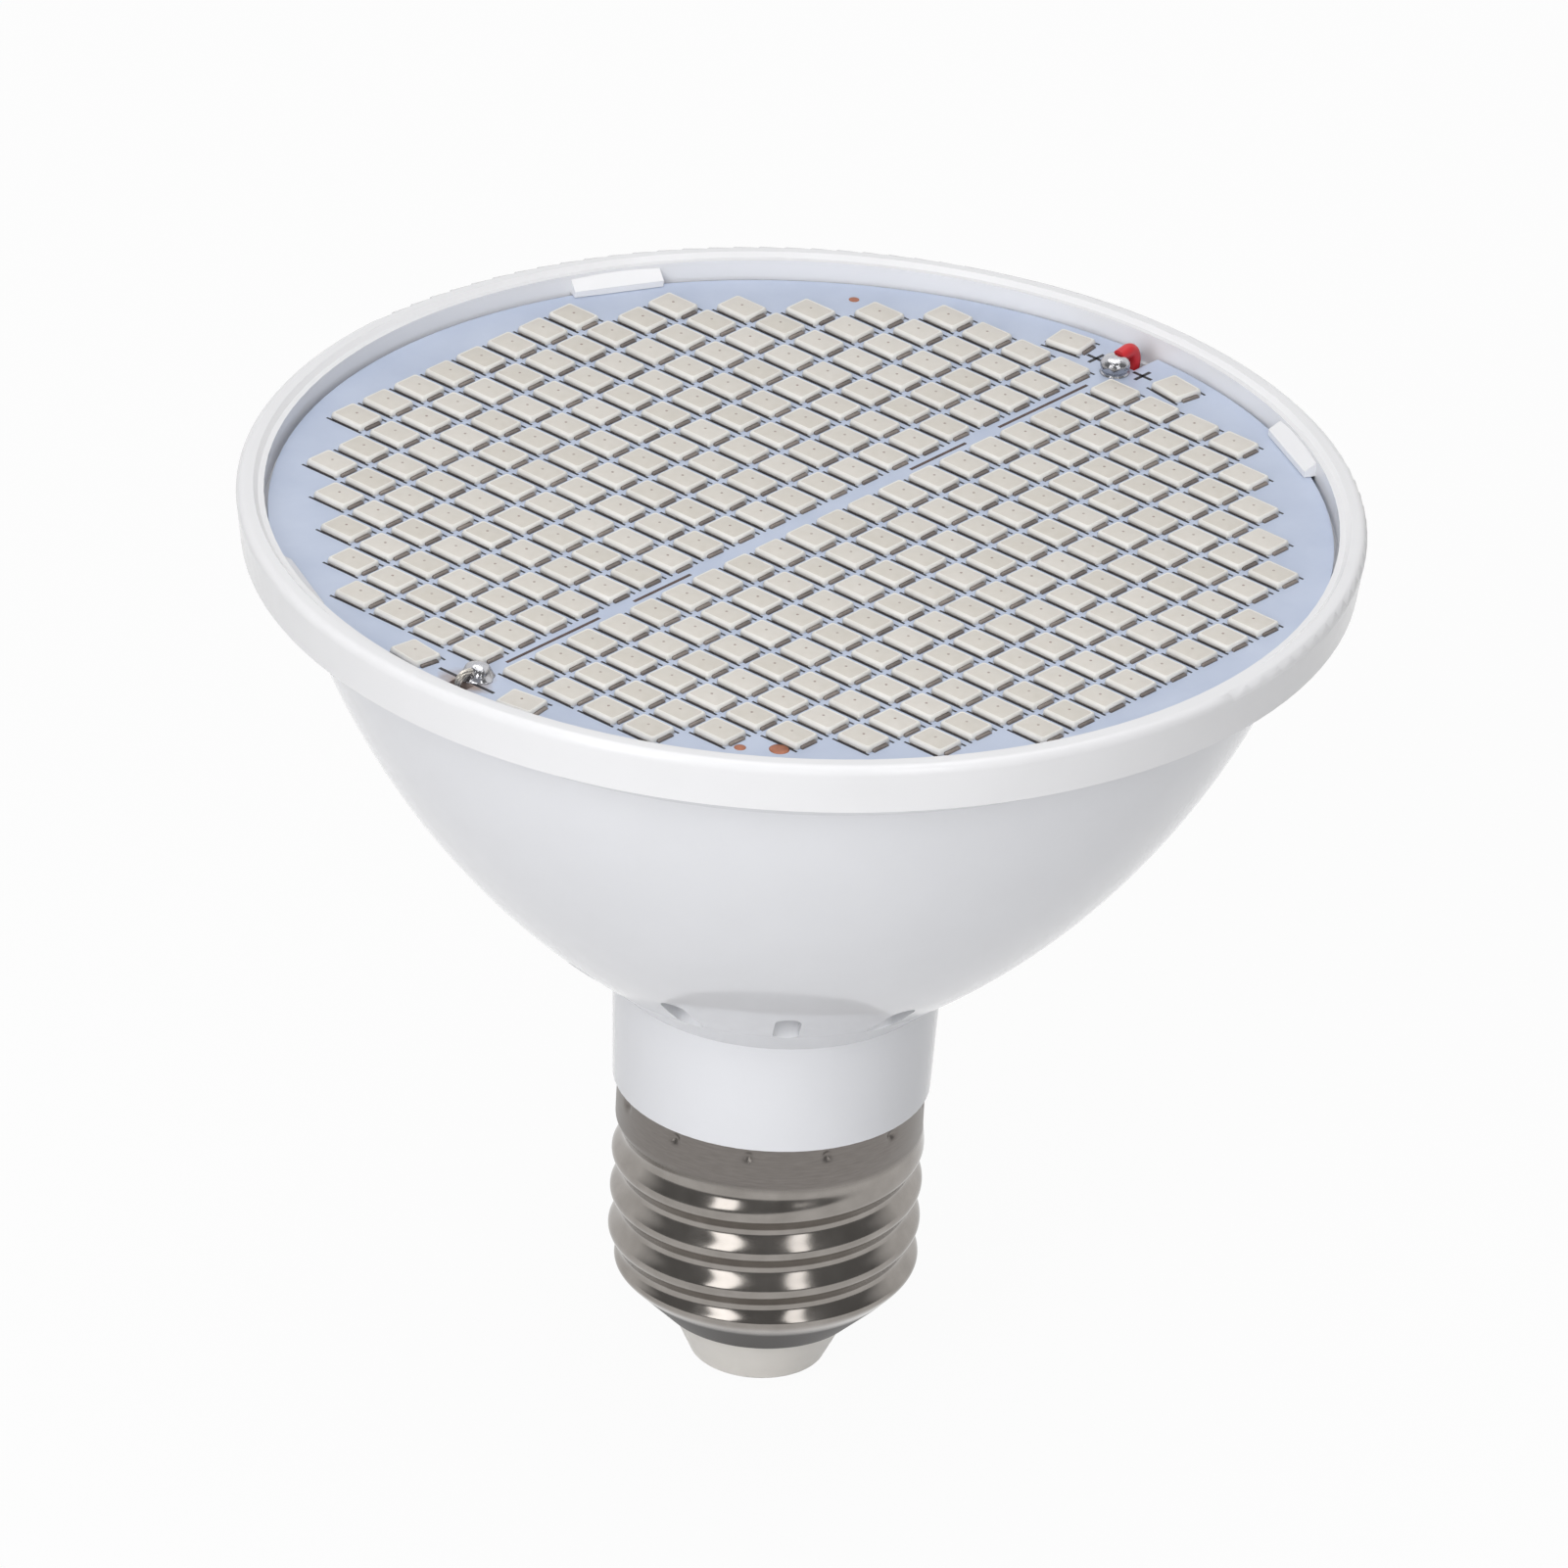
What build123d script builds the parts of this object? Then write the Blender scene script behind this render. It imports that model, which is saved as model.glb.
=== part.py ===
"""Plant lamp with an open round board of small light emitters, a moulded bowl and a screw cap.

The lamp's axis is Z. The origin is the tip of the centre contact, and the board faces +Z.
The board's rows run along X, and its positive pad is on +X.
"""

import os
from math import cos, radians, sin, sqrt, tan

from build123d import *

# Heights of the stack, from the centre contact up
CONTACT_PROUD = 0.6
INSULATOR_PROUD = 4.67
CAP_CONE_HEIGHT = 3.73
THREAD_HEIGHT = 13.9
CRIMP_BAND_HEIGHT = 4.2
NECK_HEIGHT = 10.05
FOOT_HEIGHT = 3.05
BOWL_HEIGHT = 37.05
LEDGE_THICKNESS = 1.24
BOARD_THICKNESS = 1.0
RIM_DEPTH = 2.08

# Front ring
RIM_RADIUS = 47.0
RING_WALL = 2.4
RING_DRAFT = 0.6
RING_EDGE_FILLET = 0.7
RING_STEP_WIDTH = 0.9
RING_STEP_DEPTH = 0.4
SKIRT_WALL = 1.2
TAB_COUNT = 4
TAB_FIRST_ANGLE = 62.5
TAB_LENGTH = 8.0
TAB_REACH = 1.2
TAB_NOSE = 0.6
TAB_HEIGHT = 1.4

# Bowl, neck and plug, one moulding
RIM_OVERHANG = 2.9
LIP_BAND = 0.6
LIP_FLARE = 2.0
LIP_WALL = 2.2
BOWL_BULGE = 3.13
BOWL_WALL = 1.5
FOOT_RADIUS = 17.3
NECK_TOP_RADIUS = 13.85
NECK_FOOT_RADIUS = 13.4
NECK_WALL = 1.75
PLUG_LENGTH = 13.7
PLUG_WALL = 1.6
PLUG_BORE_LENGTH = 12.0
VENT_COUNT = 14
VENT_FIRST_ANGLE = 17.6
VENT_RADIUS = 20.0
VENT_WIDTH = 2.2
VENT_REACH = 5.6
VENT_CORNER = 1.0

# Screw cap
THREAD_PITCH = 3.629
THREAD_CREST_RADIUS = 13.15
THREAD_DEPTH = 1.05
CREST_LAND = 0.06
GROOVE_START = 5.09
RUN_OUT_HEIGHT = 2.2
CRIMP_BAND_RADIUS = 12.98
BAND_STEP = 0.85
CAP_SHEET = 0.4
CAP_MOUTH_RADIUS = 8.5
CRIMP_COUNT = 12
CRIMP_FIRST_ANGLE = 2.3
CRIMP_RADIUS = 0.8
CRIMP_DEPTH = 0.28
CRIMP_DROP = 1.1
INSULATOR_FOOT_RADIUS = 5.6
INSULATOR_EDGE = 0.6
INSULATOR_SEAT_DEPTH = 3.2
CONTACT_RADIUS = 4.0
CONTACT_EDGE = 0.2
CONTACT_PIN_RADIUS = 1.0
CONTACT_PIN_PROUD = 2.0

# Light board and emitters
BOARD_CLEARANCE = 0.4
NOTCH_WIDTH = 1.9
NOTCH_DEPTH = 3.05
EDGE_MARGIN = 1.45
EMITTER_PITCH = 3.85
ROW_PITCH = 4.37
MIDDLE_GAP = 5.6
EMITTER_WIDTH = 2.8
EMITTER_LENGTH = 3.5
EMITTER_HEIGHT = 0.7
EMITTER_DRAFT = 10.0
END_EMITTER_INSET = 1.5
END_EMITTER_ANGLE = 8.2
END_EMITTER_GAP = 0.3
SOLDER_RADIUS = 1.3
SOLDER_HEIGHT = 1.6

# Driver board and what stands on it
DRIVER_WIDTH = 19.2
DRIVER_LENGTH = 44.0
DRIVER_THICKNESS = 1.2
DRIVER_STOP = 1.2
RIB_THICKNESS = 1.2
RIB_REACH = 1.4
RIB_LENGTH = 11.0
LEG_RADIUS = 0.3
LEG_TAIL = 1.5
FILM_CAPACITOR_SIZE = (15.0, 7.0, 11.0)
FILM_CAPACITOR_EDGE = 0.8
FILM_CAPACITOR_DROP = 8.7
FILM_LEG_SPAN = 10.0
CAN_RADIUS = 4.0
CAN_LENGTH = 12.0
CAN_EDGE = 0.6
CAN_DROP = 9.2
CAN_LEG_SPAN = 3.5
CAN_LEG_DROP = 2.0
BRIDGE_SIZE = (6.5, 2.4, 4.8)
BRIDGE_EDGE = 0.3
BRIDGE_RISE = 14.8
BRIDGE_LEG_SPAN = 5.1
BRIDGE_LEG_ROWS = 3.2
FUSIBLE_RADIUS = 1.7
FUSIBLE_LENGTH = 9.2
FUSIBLE_LEG_SPAN = 13.0
FUSIBLE_RISE = 7.8
RESISTOR_RADIUS = 1.2
RESISTOR_LENGTH = 6.3
RESISTOR_LEG_SPAN = 10.0
RESISTOR_EDGE = 0.4
DISCHARGE_RESISTOR_DROP = 20.5
BLEEDER_RESISTOR_RISE = 10.9

# Wires; each bend is a distance in from the light board's edge and a height from its face
LEAD_RADIUS = 0.6
STRAND_RADIUS = 0.35
MAINS_WIRE_RADIUS = 0.5
PAD_OVERLAP = 3.0
LEAD_PAD_X = 6.0
LEAD_RISE = 7.0
POSITIVE_BENDS = ((25.2, -12.1), (12.2, -7.3), (5.9, -5.2), (3.3, -2.7), (1.9, 0.3), (2.4, 1.55), (4.0, 1.3))
NEGATIVE_BENDS = ((25.2, -12.1), (12.2, -7.3), (5.9, -5.2), (4.1, -3.4))
STRAND_BENDS = ((4.1, -3.4), (3.1, -2.4), (2.0, 0.0), (2.5, 0.9), (4.0, 0.7))
BEND_SHARE = 0.45
LIVE_PAD_X = 3.0
LIVE_TURN_RISE = 3.2
LIVE_PIN_RISE = 2.0
NEUTRAL_PAD_X = -5.0
NEUTRAL_TURN_DROP = 0.5
NEUTRAL_CROSS_DROP = 1.9
NEUTRAL_CROSS = (-3.5, -4.0)
NEUTRAL_NEAR = (-0.6, 1.6)
NEUTRAL_ENTRY_DROP = 0.9
CHANNEL_WIDTH = 1.4
CHANNEL_DEPTH = 1.3
CHANNEL_LENGTH = 6.0

# Clearances
FIT = 0.1
SEAT = 0.05

# Levels that follow from the stack
z_cap_mouth = CONTACT_PROUD + INSULATOR_PROUD
z_thread = z_cap_mouth + CAP_CONE_HEIGHT
z_band = z_thread + THREAD_HEIGHT
z_shell_top = z_band + CRIMP_BAND_HEIGHT
z_neck_top = z_shell_top + NECK_HEIGHT
z_foot = z_neck_top + FOOT_HEIGHT
z_lip = z_foot + BOWL_HEIGHT
z_ledge = z_lip + LEDGE_THICKNESS
z_board = z_ledge + BOARD_THICKNESS
z_rim = z_board + RIM_DEPTH
z_plug_end = z_shell_top - PLUG_LENGTH
z_driver = z_plug_end + DRIVER_STOP
z_driver_top = z_driver + DRIVER_LENGTH
z_film_capacitor = z_driver_top - FILM_CAPACITOR_DROP
z_can = z_driver_top - CAN_DROP
z_discharge_resistor = z_driver_top - DISCHARGE_RESISTOR_DROP
z_bridge = z_driver + BRIDGE_RISE
z_bleeder_resistor = z_driver + BLEEDER_RESISTOR_RISE
z_fusible = z_driver + FUSIBLE_RISE
z_insulator_top = z_cap_mouth + INSULATOR_SEAT_DEPTH
z_pin_top = z_insulator_top + CONTACT_PIN_PROUD

# Radii that follow from the fits
ring_bore = RIM_RADIUS - RING_WALL
board_radius = ring_bore - BOARD_CLEARANCE
emitter_limit = board_radius - EDGE_MARGIN
solder_x = board_radius - NOTCH_DEPTH - SOLDER_RADIUS - FIT
lip_radius = RIM_RADIUS - RIM_OVERHANG
lip_bore = lip_radius - LIP_WALL
skirt_radius = lip_bore - FIT
skirt_bore = skirt_radius - SKIRT_WALL
thread_root = THREAD_CREST_RADIUS - THREAD_DEPTH
thread_land = THREAD_CREST_RADIUS - CREST_LAND
thread_bore = thread_root - CAP_SHEET
band_bore = CRIMP_BAND_RADIUS - CAP_SHEET
plug_radius = thread_bore - FIT
plug_shoulder = band_bore - FIT
plug_bore = plug_radius - PLUG_WALL
driver_face = DRIVER_THICKNESS / 2
driver_slot = DRIVER_THICKNESS + 2 * FIT

# The bowl's outer arc, and the same arc moved inward by the wall
bowl_top = Vector(lip_radius - LIP_FLARE, z_lip - LIP_BAND - LIP_FLARE)
bowl_foot = Vector(FOOT_RADIUS, z_foot)
bowl_chord = (bowl_top - bowl_foot).normalized()
bowl_inward = Vector(-bowl_chord.Y, bowl_chord.X) * BOWL_WALL
bowl_inner_top = bowl_top + bowl_inward
bowl_inner_foot = bowl_foot + bowl_inward


def radial_plane(angle):
    """The upright plane through the axis at an angle, with radius and height as its axes."""
    c = cos(radians(angle))
    s = sin(radians(angle))
    return Plane(origin=(0, 0, 0), x_dir=(c, s, 0), z_dir=(s, -c, 0))


def turn(*points):
    """Closes a profile of radius and height and turns it about the lamp's axis."""
    with BuildSketch(Plane.XZ) as profile:
        with BuildLine():
            Polyline(*points, close=True)
        make_face()
    return revolve(profile.sketch, axis=Axis.Z)


def wire_along(radius, points):
    """A round wire of straight runs joined by arcs as large as the runs allow."""
    stops = [Vector(*point) for point in points]
    bends = []
    for before, corner, after in zip(stops, stops[1:], stops[2:]):
        half_turn = radians((corner - before).get_angle(after - corner)) / 2
        shorter_run = min((corner - before).length, (after - corner).length)
        bends.append(BEND_SHARE * shorter_run / tan(half_turn))
    with BuildLine() as route:
        FilletPolyline(*stops, radius=bends)
    with BuildSketch(Plane(origin=route.line @ 0, z_dir=route.line % 0)) as section:
        Circle(radius)
    sweep(section.sketch, path=route.line)


def straight_legs(points, side):
    """Round legs from a component's seat through the driver board."""
    with BuildSketch(Plane.XZ.offset(-side * driver_face)) as sections:
        with Locations(*points):
            Circle(LEG_RADIUS)
    extrude(sections.sketch, amount=side * (DRIVER_THICKNESS + LEG_TAIL))


def axial_resistor(radius, length, leg_span, z, side):
    """A round body that lies on the driver board, with a bent leg at each end."""
    y = side * (driver_face + radius + SEAT)
    with Locations(Location((0, y, z), (0, 90, 0))):
        body = Cylinder(radius, length)
    fillet(body.edges().filter_by(GeomType.CIRCLE), RESISTOR_EDGE)
    for end in (1, -1):
        inside = (end * (length / 2 - RESISTOR_EDGE), y, z)
        corner = (end * leg_span / 2, y, z)
        tip = (end * leg_span / 2, -side * (driver_face + LEG_TAIL), z)
        wire_along(LEG_RADIUS, (inside, corner, tip))


def save(piece, name):
    """Labels a finished piece and writes it under its name."""
    piece.part.label = name
    export_step(piece.part, f"parts/{name}.step")


os.makedirs("parts", exist_ok=True)

# Front ring: outer band, ledge under the board, skirt inside the bowl's lip, hold-down tabs
with BuildPart() as front_ring:
    turn(
        (RIM_RADIUS - RING_DRAFT, z_lip),
        (RIM_RADIUS, z_rim),
        (ring_bore + RING_STEP_WIDTH, z_rim),
        (ring_bore + RING_STEP_WIDTH - RING_STEP_DEPTH, z_rim - RING_STEP_DEPTH),
        (ring_bore, z_rim - RING_STEP_DEPTH),
        (ring_bore, z_ledge),
        (skirt_bore, z_ledge),
        (skirt_bore, bowl_inner_top.Y + FIT),
        (skirt_radius, bowl_inner_top.Y + FIT),
        (skirt_radius, z_lip),
    )
    top_edges = front_ring.edges().filter_by(GeomType.CIRCLE).group_by(Axis.Z)[-1]
    fillet(top_edges.sort_by(SortBy.RADIUS)[-1], RING_EDGE_FILLET)
    for tab in range(TAB_COUNT):
        with BuildSketch(radial_plane(TAB_FIRST_ANGLE + tab * 360 / TAB_COUNT)):
            with BuildLine():
                Polyline(
                    (ring_bore - TAB_REACH, z_board + SEAT),
                    (ring_bore + RING_STEP_WIDTH, z_board + SEAT),
                    (ring_bore + RING_STEP_WIDTH, z_board + TAB_HEIGHT),
                    (ring_bore, z_board + TAB_HEIGHT),
                    (ring_bore - TAB_REACH, z_board + TAB_NOSE),
                    close=True,
                )
            make_face()
        extrude(amount=TAB_LENGTH / 2, both=True)
    slot_reach = board_radius - skirt_bore + SKIRT_WALL
    with BuildSketch(Plane.XY.offset(z_ledge)):
        with PolarLocations(board_radius - slot_reach / 2, 2):
            Rectangle(slot_reach, NOTCH_WIDTH)
    extrude(amount=bowl_inner_top.Y - z_ledge, mode=Mode.SUBTRACT)
save(front_ring, "front_ring")

# Bowl with a ring of vents, neck and plug, with guide ribs for the driver board inside the plug
with BuildPart() as housing:
    with BuildSketch(Plane.XZ):
        with BuildLine():
            SagittaArc(bowl_top, bowl_foot, BOWL_BULGE)
            Polyline(
                bowl_top,
                (lip_radius, z_lip - LIP_BAND),
                (lip_radius, z_lip),
                (lip_bore, z_lip),
                (lip_bore, bowl_inner_top.Y),
                bowl_inner_top,
            )
            SagittaArc(bowl_inner_top, bowl_inner_foot, BOWL_BULGE)
            Polyline(
                bowl_inner_foot,
                (NECK_TOP_RADIUS - NECK_WALL, z_neck_top + BOWL_WALL),
                (NECK_FOOT_RADIUS - NECK_WALL, z_shell_top),
                (plug_bore, z_plug_end + PLUG_BORE_LENGTH),
                (plug_bore, z_plug_end),
                (plug_radius, z_plug_end),
                (plug_radius, z_band - BAND_STEP + 2 * FIT),
                (plug_shoulder, z_band + 2 * FIT),
                (plug_shoulder, z_shell_top),
                (NECK_FOOT_RADIUS, z_shell_top),
                (NECK_TOP_RADIUS, z_neck_top),
                bowl_foot,
            )
        make_face()
    revolve(axis=Axis.Z)
    with BuildSketch(Plane.XY.offset(z_neck_top)):
        with PolarLocations(VENT_RADIUS, VENT_COUNT, start_angle=VENT_FIRST_ANGLE):
            RectangleRounded(VENT_REACH, VENT_WIDTH, VENT_CORNER)
    extrude(amount=BOWL_HEIGHT / 2, mode=Mode.SUBTRACT)
    rib_width = RIB_REACH + PLUG_WALL / 2
    rib_middle = plug_bore - RIB_REACH + rib_width / 2
    with BuildSketch(Plane.XY.offset(z_plug_end)):
        with PolarLocations(rib_middle, 2):
            Rectangle(rib_width, driver_slot + 2 * RIB_THICKNESS)
            Rectangle(rib_width, driver_slot, mode=Mode.SUBTRACT)
    extrude(amount=RIB_LENGTH)
    with BuildSketch(Plane.XY.offset(z_plug_end)):
        with PolarLocations(rib_middle, 2):
            Rectangle(rib_width, driver_slot)
    extrude(amount=DRIVER_STOP)
    with BuildSketch(Plane.XY.offset(z_plug_end)):
        with Locations((0, -plug_radius)):
            Rectangle(CHANNEL_WIDTH, 2 * CHANNEL_DEPTH)
    extrude(amount=CHANNEL_LENGTH, mode=Mode.SUBTRACT)
save(housing, "housing")

# Light board with a notch for each lead
with BuildPart() as led_board:
    with BuildSketch(Plane.XY.offset(z_ledge)):
        Circle(board_radius)
        with PolarLocations(board_radius, 2):
            Rectangle(2 * NOTCH_DEPTH, NOTCH_WIDTH, mode=Mode.SUBTRACT)
    extrude(amount=BOARD_THICKNESS)
save(led_board, "led_board")

# Emitters in rows on both sides of the middle gap, and one at each end of the middle rows
end_cos = cos(radians(END_EMITTER_ANGLE))
end_sin = sin(radians(END_EMITTER_ANGLE))
end_x = (emitter_limit - END_EMITTER_INSET) * end_cos
end_y = (emitter_limit - END_EMITTER_INSET) * end_sin
end_side = end_x - (EMITTER_WIDTH * end_cos + EMITTER_LENGTH * end_sin) / 2
end_top = end_y + (EMITTER_LENGTH * end_cos + EMITTER_WIDTH * end_sin) / 2
row_places = []
row_y = MIDDLE_GAP / 2
while row_y + EMITTER_LENGTH / 2 < emitter_limit:
    reach = sqrt(emitter_limit**2 - (row_y + EMITTER_LENGTH / 2) ** 2)
    if row_y - EMITTER_LENGTH / 2 < end_top:
        reach = min(reach, end_side - END_EMITTER_GAP)
    for place in range(int((reach - EMITTER_WIDTH / 2) / EMITTER_PITCH + 0.5)):
        x = (place + 0.5) * EMITTER_PITCH
        row_places += [(x, row_y), (-x, row_y), (x, -row_y), (-x, -row_y)]
    row_y += ROW_PITCH
with BuildPart() as leds:
    with BuildSketch(Plane.XY.offset(z_board)):
        with Locations(*row_places):
            Rectangle(EMITTER_WIDTH, EMITTER_LENGTH)
        with Locations((end_x, end_y), (-end_x, -end_y)):
            Rectangle(EMITTER_WIDTH, EMITTER_LENGTH, rotation=END_EMITTER_ANGLE)
        with Locations((end_x, -end_y), (-end_x, end_y)):
            Rectangle(EMITTER_WIDTH, EMITTER_LENGTH, rotation=-END_EMITTER_ANGLE)
    extrude(amount=EMITTER_HEIGHT, taper=EMITTER_DRAFT)
save(leds, "leds")

# Screw shell: sheet-metal cone, thread and crimped band
quarter_pitch = THREAD_PITCH / 4
half_depth = THREAD_DEPTH / 2
knuckle_radius = (quarter_pitch**2 + half_depth**2) / THREAD_DEPTH
lip_depth = CREST_LAND / 3
lip_y = THREAD_PITCH / 2 - sqrt(2 * knuckle_radius * lip_depth - lip_depth**2)
lip_x = THREAD_DEPTH - lip_depth
with BuildPart() as thread_groove:
    with BuildLine() as groove_path:
        Helix(THREAD_PITCH, z_band - GROOVE_START, thread_root, center=(0, 0, GROOVE_START))
    with BuildSketch(Plane(groove_path.line @ 0, x_dir=(1, 0, 0), z_dir=groove_path.line % 0)):
        with BuildLine():
            ThreePointArc((half_depth, -quarter_pitch), (0, 0), (half_depth, quarter_pitch))
            RadiusArc((half_depth, quarter_pitch), (lip_x, lip_y), -knuckle_radius)
            Polyline(
                (lip_x, lip_y),
                (2 * THREAD_DEPTH, lip_y),
                (2 * THREAD_DEPTH, -lip_y),
                (lip_x, -lip_y),
            )
            RadiusArc((lip_x, -lip_y), (half_depth, -quarter_pitch), -knuckle_radius)
        make_face()
    sweep(path=groove_path.line, is_frenet=True)
    with BuildSketch(Plane.XZ):
        with BuildLine():
            Polyline(
                (thread_bore, z_cap_mouth),
                (thread_bore, z_band - RUN_OUT_HEIGHT),
                (THREAD_CREST_RADIUS, z_band),
                (THREAD_CREST_RADIUS + 2 * THREAD_DEPTH, z_band),
                (THREAD_CREST_RADIUS + 2 * THREAD_DEPTH, z_cap_mouth),
                close=True,
            )
        make_face()
    revolve(axis=Axis.Z, mode=Mode.INTERSECT)

cone_chord = Vector(thread_root - CAP_MOUTH_RADIUS, CAP_CONE_HEIGHT)
cone_sheet = CAP_SHEET * cone_chord.length / CAP_CONE_HEIGHT
mouth_bore = CAP_MOUTH_RADIUS - cone_sheet
cone_slope = cone_chord.X / cone_chord.Y
z_bore_foot = z_cap_mouth + (thread_bore - mouth_bore) / cone_slope
with BuildPart() as screw_shell:
    turn(
        (CAP_MOUTH_RADIUS, z_cap_mouth),
        (thread_root, z_thread),
        (thread_land, z_thread + THREAD_DEPTH),
        (thread_land, z_band),
        (CRIMP_BAND_RADIUS, z_band + THREAD_CREST_RADIUS - CRIMP_BAND_RADIUS),
        (CRIMP_BAND_RADIUS, z_shell_top),
        (band_bore, z_shell_top),
        (band_bore, z_band),
        (thread_bore, z_band - BAND_STEP),
        (thread_bore, z_bore_foot),
        (mouth_bore, z_cap_mouth),
    )
    add(thread_groove.part, mode=Mode.SUBTRACT)
    with Locations(Plane.XY.offset(z_shell_top - CRIMP_DROP)):
        with PolarLocations(
            CRIMP_BAND_RADIUS + CRIMP_RADIUS - CRIMP_DEPTH, CRIMP_COUNT, start_angle=CRIMP_FIRST_ANGLE
        ):
            Sphere(CRIMP_RADIUS, mode=Mode.SUBTRACT)
save(screw_shell, "screw_shell")

# Insulating cone in the shell's mouth, bored for the contact's pin
with BuildPart() as cap_insulator:
    turn(
        (CONTACT_PIN_RADIUS + SEAT, CONTACT_PROUD),
        (INSULATOR_FOOT_RADIUS, CONTACT_PROUD),
        (mouth_bore - FIT, z_cap_mouth),
        (mouth_bore - FIT + cone_slope * INSULATOR_SEAT_DEPTH, z_insulator_top),
        (CONTACT_PIN_RADIUS + SEAT, z_insulator_top),
    )
    foot_edges = cap_insulator.edges().filter_by(GeomType.CIRCLE).group_by(Axis.Z)[0]
    fillet(foot_edges.sort_by(SortBy.RADIUS)[-1], INSULATOR_EDGE)
save(cap_insulator, "cap_insulator")

# Centre contact: a flat button with a pin through the insulator
with BuildPart() as centre_contact:
    turn(
        (0, 0),
        (CONTACT_RADIUS - CONTACT_EDGE, 0),
        (CONTACT_RADIUS, CONTACT_EDGE),
        (CONTACT_RADIUS, CONTACT_PROUD),
        (CONTACT_PIN_RADIUS, CONTACT_PROUD),
        (CONTACT_PIN_RADIUS, z_pin_top),
        (0, z_pin_top),
    )
save(centre_contact, "centre_contact")

# Leads from the driver board up to the light board
lead_y = driver_face + LEAD_RADIUS + SEAT
z_lead_pad = z_driver_top - PAD_OVERLAP


def board_bends(side, bends):
    """Points of a wire near the light board, on its positive or negative side."""
    return [(side * (board_radius - inset), 0, z_board + rise) for inset, rise in bends]


def lead_route(side, bends):
    """A lead's points, from its pad on the driver board to its end at the light board."""
    pad_x = side * LEAD_PAD_X
    start = [(pad_x, lead_y, z_lead_pad), (pad_x, lead_y, z_lead_pad + LEAD_RISE)]
    return start + board_bends(side, bends)


with BuildPart() as positive_lead:
    wire_along(LEAD_RADIUS, lead_route(1, POSITIVE_BENDS))
save(positive_lead, "positive_lead")

with BuildPart() as negative_lead:
    wire_along(LEAD_RADIUS, lead_route(-1, NEGATIVE_BENDS))
save(negative_lead, "negative_lead")

with BuildPart() as negative_strands:
    wire_along(STRAND_RADIUS, board_bends(-1, STRAND_BENDS))
save(negative_strands, "negative_strands")


def solder_dome(x):
    """A dome of solder on the light board."""
    dome_radius = (SOLDER_RADIUS**2 + SOLDER_HEIGHT**2) / (2 * SOLDER_HEIGHT)
    with Locations((x, 0, z_board + SOLDER_HEIGHT - dome_radius)):
        Sphere(dome_radius)
    split(bisect_by=Plane.XY.offset(z_board), keep=Keep.TOP)


# Solder joints, each formed round the end of its wire
with BuildPart() as positive_solder:
    solder_dome(solder_x)
    add(positive_lead.part, mode=Mode.SUBTRACT)
save(positive_solder, "positive_solder")

with BuildPart() as negative_solder:
    solder_dome(-solder_x)
    add(negative_strands.part, mode=Mode.SUBTRACT)
save(negative_solder, "negative_solder")

# Driver board, drilled for the legs of what stands on it
film_y = driver_face + FILM_CAPACITOR_SIZE[1] / 2
can_y = driver_face + CAN_RADIUS + SEAT
can_foot = z_can - CAN_LENGTH / 2
bridge_y = driver_face + BRIDGE_SIZE[1] / 2
film_legs = [(side * FILM_LEG_SPAN / 2, z_film_capacitor) for side in (1, -1)]
can_legs = [(side * CAN_LEG_SPAN / 2, can_foot - CAN_LEG_DROP) for side in (1, -1)]
bridge_legs = [
    (x * BRIDGE_LEG_SPAN / 2, z_bridge + z * BRIDGE_LEG_ROWS / 2) for x in (1, -1) for z in (1, -1)
]
fusible_legs = [(side * FUSIBLE_LEG_SPAN / 2, z_fusible) for side in (1, -1)]
discharge_legs = [(side * RESISTOR_LEG_SPAN / 2, z_discharge_resistor) for side in (1, -1)]
bleeder_legs = [(side * RESISTOR_LEG_SPAN / 2, z_bleeder_resistor) for side in (1, -1)]
with BuildPart() as driver_board:
    with BuildSketch(Plane.XZ):
        with Locations((0, z_driver + DRIVER_LENGTH / 2)):
            Rectangle(DRIVER_WIDTH, DRIVER_LENGTH)
        with Locations(*film_legs, *can_legs, *bridge_legs, *fusible_legs, *discharge_legs, *bleeder_legs):
            Circle(LEG_RADIUS + FIT, mode=Mode.SUBTRACT)
    extrude(amount=driver_face, both=True)
save(driver_board, "driver_board")

with BuildPart() as film_capacitor:
    with Locations((0, film_y, z_film_capacitor)):
        film_body = Box(*FILM_CAPACITOR_SIZE)
    fillet(film_body.edges().filter_by(Axis.Y), FILM_CAPACITOR_EDGE)
    straight_legs(film_legs, 1)
save(film_capacitor, "film_capacitor")

with BuildPart() as smoothing_capacitor:
    with Locations((0, -can_y, z_can)):
        can_body = Cylinder(CAN_RADIUS, CAN_LENGTH)
    fillet(can_body.edges().filter_by(GeomType.CIRCLE), CAN_EDGE)
    for leg_x, leg_z in can_legs:
        wire_along(
            LEG_RADIUS,
            (
                (leg_x, -can_y, can_foot + CAN_EDGE),
                (leg_x, -can_y, leg_z),
                (leg_x, driver_face + LEG_TAIL, leg_z),
            ),
        )
save(smoothing_capacitor, "smoothing_capacitor")

with BuildPart() as bridge_rectifier:
    with Locations((0, bridge_y, z_bridge)):
        bridge_body = Box(*BRIDGE_SIZE)
    chamfer(bridge_body.faces().sort_by(Axis.Y)[-1].edges(), BRIDGE_EDGE)
    straight_legs(bridge_legs, 1)
save(bridge_rectifier, "bridge_rectifier")

with BuildPart() as fusible_resistor:
    axial_resistor(FUSIBLE_RADIUS, FUSIBLE_LENGTH, FUSIBLE_LEG_SPAN, z_fusible, 1)
save(fusible_resistor, "fusible_resistor")

with BuildPart() as discharge_resistor:
    axial_resistor(RESISTOR_RADIUS, RESISTOR_LENGTH, RESISTOR_LEG_SPAN, z_discharge_resistor, 1)
save(discharge_resistor, "discharge_resistor")

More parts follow.
